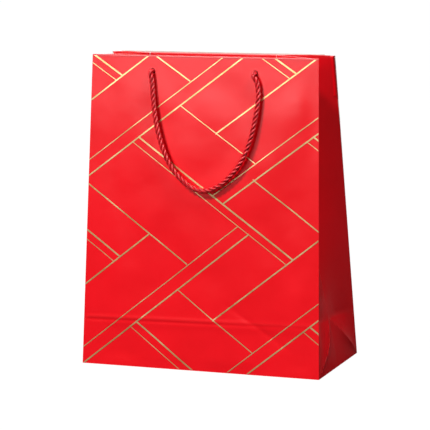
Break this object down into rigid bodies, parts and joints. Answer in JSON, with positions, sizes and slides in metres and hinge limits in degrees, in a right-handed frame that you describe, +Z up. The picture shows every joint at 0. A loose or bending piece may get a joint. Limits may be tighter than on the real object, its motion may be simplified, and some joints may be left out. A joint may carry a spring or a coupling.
{
  "type": "gift bag",
  "caption": "Paper gift bag with leaning walls, folded-in gussets, a folded rim with card strips, a loose base board, foil lines and knotted rope handles.",
  "frame": {"origin": "centre of the bottom, on the surface that the bag stands on", "axes": "+Z up; the front wall faces -Y and the right gusset faces +X"},
  "size_m": [0.26, 0.12, 0.3181],
  "materials": {
    "red_paper": "matte laminated",
    "white_card": "uncoated",
    "gold_foil": "stamped metallic foil",
    "red_rope": "twisted satin yarn"
  },
  "bodies": {
    "base": {"bottom_outer_flap": "red_paper", "bottom_inner_flap": "red_paper", "left_bottom_tuck": "red_paper", "right_bottom_tuck": "red_paper", "left_gusset_foot": "red_paper", "right_gusset_foot": "red_paper", "left_front_gusset": "red_paper", "left_back_gusset": "red_paper", "right_front_gusset": "red_paper", "right_back_gusset": "red_paper", "left_front_gusset_hem": "red_paper", "left_back_gusset_hem": "red_paper", "right_front_gusset_hem": "red_paper", "right_back_gusset_hem": "red_paper"},
    "front_wall": {"front_panel": "red_paper", "front_card": "white_card", "front_hem": "red_paper", "front_foil": "gold_foil", "front_left_knot": "red_rope", "front_right_knot": "red_rope"},
    "back_wall": {"back_panel": "red_paper", "back_card": "white_card", "back_hem": "red_paper", "back_foil": "gold_foil", "back_left_knot": "red_rope", "back_right_knot": "red_rope", "seam_tab": "red_paper"},
    "front_handle": {"front_rope": "red_rope"},
    "back_handle": {"back_rope": "red_rope"},
    "board": {"base_board": "white_card"}
  },
  "joints": [
    {"name": "front_wall_lean", "type": "hinge", "parent": "base", "child": "front_wall", "pos_m": [0, -0.06, 0], "axis": [-1, 0, 0], "range_deg": [-6, 2.8], "deforming": ["left_front_gusset", "right_front_gusset", "left_front_gusset_hem", "right_front_gusset_hem"]},
    {"name": "back_wall_lean", "type": "hinge", "parent": "base", "child": "back_wall", "pos_m": [0, 0.06, 0], "axis": [1, 0, 0], "range_deg": [-6, 2.8], "deforming": ["left_back_gusset", "right_back_gusset", "left_back_gusset_hem", "right_back_gusset_hem"]},
    {"name": "front_handle_swing", "type": "hinge", "parent": "front_wall", "child": "front_handle", "pos_m": [0, -0.03023, 0.30256], "axis": [-1, 0, 0], "range_deg": [0, 175]},
    {"name": "back_handle_swing", "type": "hinge", "parent": "back_wall", "child": "back_handle", "pos_m": [0, 0.03023, 0.30256], "axis": [1, 0, 0], "range_deg": [0, 175]},
    {"name": "base_board_tilt", "type": "hinge", "parent": "base", "child": "board", "pos_m": [0, 0.057, 0.00135], "axis": [-1, 0, 0], "range_deg": [0, 12]}
  ]
}
